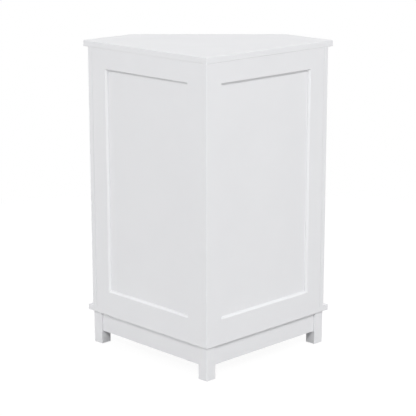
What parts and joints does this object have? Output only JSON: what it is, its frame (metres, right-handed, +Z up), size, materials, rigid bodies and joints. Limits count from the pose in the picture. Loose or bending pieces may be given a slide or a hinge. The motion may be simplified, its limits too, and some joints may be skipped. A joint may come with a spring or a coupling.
{
  "type": "corner storage cabinet",
  "caption": "White five-sided corner cabinet with framed sides and door, shelves, overhanging top and a legged base.",
  "frame": {"origin": "middle of the bounding box on the floor", "axes": "+Z up, -Y out of the door, +Y towards the corner of the room, +X to the right as seen from the door"},
  "size_m": [0.6294, 0.4382, 0.8],
  "materials": {
    "white_paint": "satin white paint on fibreboard",
    "hinge_steel": "satin nickel plate",
    "knob_nickel": "brushed nickel",
    "plated_steel": "zinc plate",
    "zinc": "plain die-cast zinc",
    "catch_plastic": "moulded white plastic",
    "magnet": "dark ceramic magnet",
    "glide_plastic": "moulded white plastic",
    "dowel_wood": "bare beech"
  },
  "bodies": {
    "carcass": {"bottom_board": "white_paint", "cam_bolts": "zinc", "cam_locks": "zinc", "catch_housing": "catch_plastic", "catch_magnet": "magnet", "catch_screws": "plated_steel", "corner_leg": "white_paint", "dowels": "dowel_wood", "foot_glides": "glide_plastic", "front_apron": "white_paint", "hinge_frame_screws": "hinge_steel", "left_front_leg": "white_paint", "left_front_stile": "white_paint", "left_return": "white_paint", "left_return_apron": "white_paint", "left_wall_apron": "white_paint", "left_wall_bottom_rail": "white_paint", "left_wall_corner_stile": "white_paint", "left_wall_leg": "white_paint", "left_wall_outer_stile": "white_paint", "left_wall_panel": "white_paint", "left_wall_top_rail": "white_paint", "lower_hinge_frame_leaf": "hinge_steel", "lower_hinge_pin": "hinge_steel", "lower_shelf": "white_paint", "right_front_leg": "white_paint", "right_front_stile": "white_paint", "right_return": "white_paint", "right_return_apron": "white_paint", "right_wall_apron": "white_paint", "right_wall_bottom_rail": "white_paint", "right_wall_corner_stile": "white_paint", "right_wall_leg": "white_paint", "right_wall_outer_stile": "white_paint", "right_wall_panel": "white_paint", "right_wall_top_rail": "white_paint", "shelf_pins": "plated_steel", "top_board": "white_paint", "upper_hinge_frame_leaf": "hinge_steel", "upper_hinge_pin": "hinge_steel", "upper_shelf": "white_paint"},
    "door": {"door_hinge_stile": "white_paint", "door_knob_stile": "white_paint", "door_top_rail": "white_paint", "door_bottom_rail": "white_paint", "door_panel": "white_paint", "lower_hinge_door_leaf": "hinge_steel", "upper_hinge_door_leaf": "hinge_steel", "hinge_door_screws": "hinge_steel", "door_knob": "knob_nickel", "knob_screw": "plated_steel", "strike_plate": "plated_steel", "strike_screws": "plated_steel"}
  },
  "joints": [
    {"name": "door_hinge", "type": "hinge", "parent": "carcass", "child": "door", "pos_m": [-0.15174, -0.19642, 0.444], "axis": [0, 0, -1], "range_deg": [0, 165]}
  ]
}
